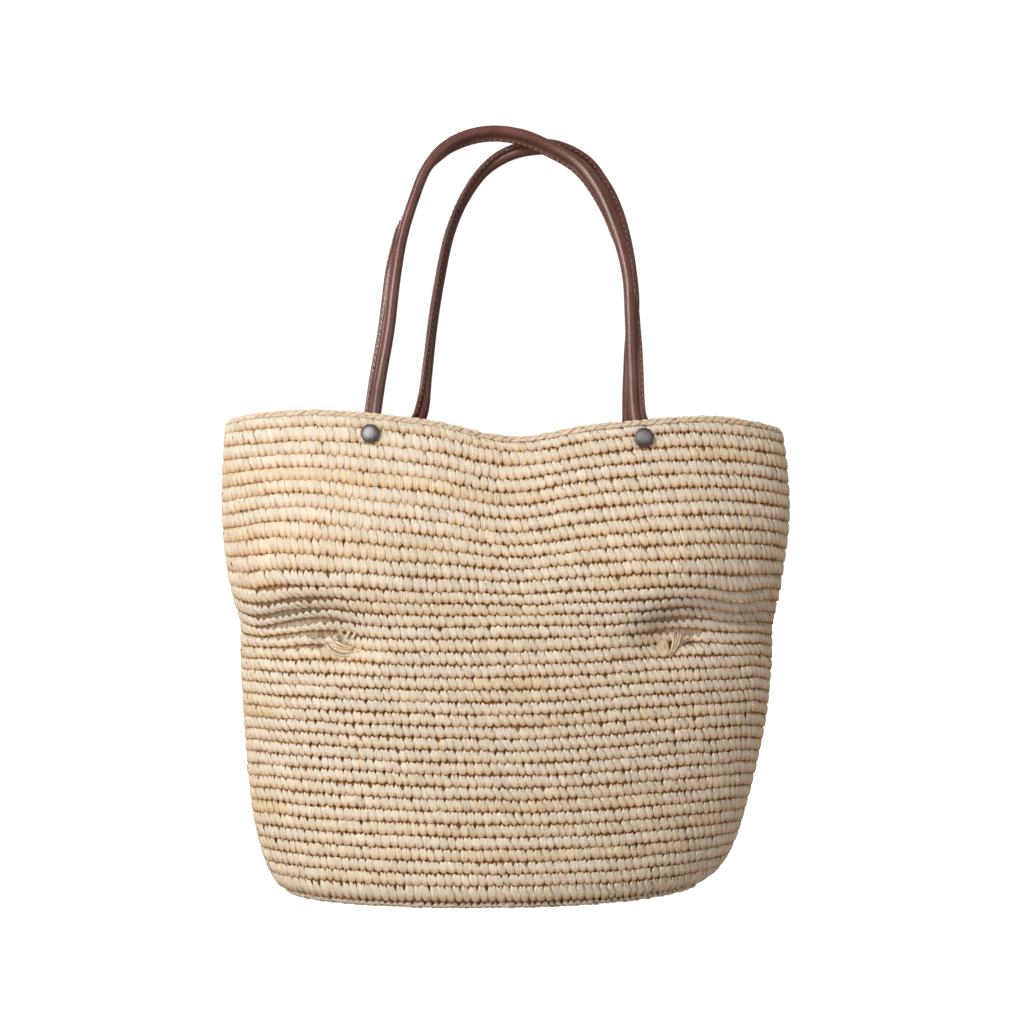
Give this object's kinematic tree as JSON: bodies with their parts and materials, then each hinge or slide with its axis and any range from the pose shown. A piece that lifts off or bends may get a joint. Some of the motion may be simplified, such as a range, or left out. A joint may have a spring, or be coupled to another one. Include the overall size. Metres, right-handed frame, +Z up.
{
  "type": "crocheted raffia tote bag",
  "caption": "Soft tote crocheted in raffia, open at the top, with rolled leather handles riveted inside the rim, used to carry things by hand or on the shoulder.",
  "frame": {"origin": "middle of the bounding box, at the surface that the base stands on", "axes": "+Z up, +X to the right as seen from the front, and the front of the bag faces -Y"},
  "size_m": [0.3957, 0.1702, 0.5354],
  "materials": {
    "raffia": "matte crocheted straw",
    "leather": "smooth, with a soft sheen",
    "old_nickel": "worn, darkened"
  },
  "bodies": {
    "root": {"crocheted_body": "raffia", "rim_edging": "raffia", "tuft_left": "raffia", "tuft_right": "raffia", "handle_front": "leather", "handle_back": "leather", "washer_front_left": "leather", "washer_front_right": "leather", "washer_back_left": "leather", "washer_back_right": "leather", "rivet_front_left": "old_nickel", "rivet_front_right": "old_nickel", "rivet_back_left": "old_nickel", "rivet_back_right": "old_nickel"}
  },
  "joints": []
}
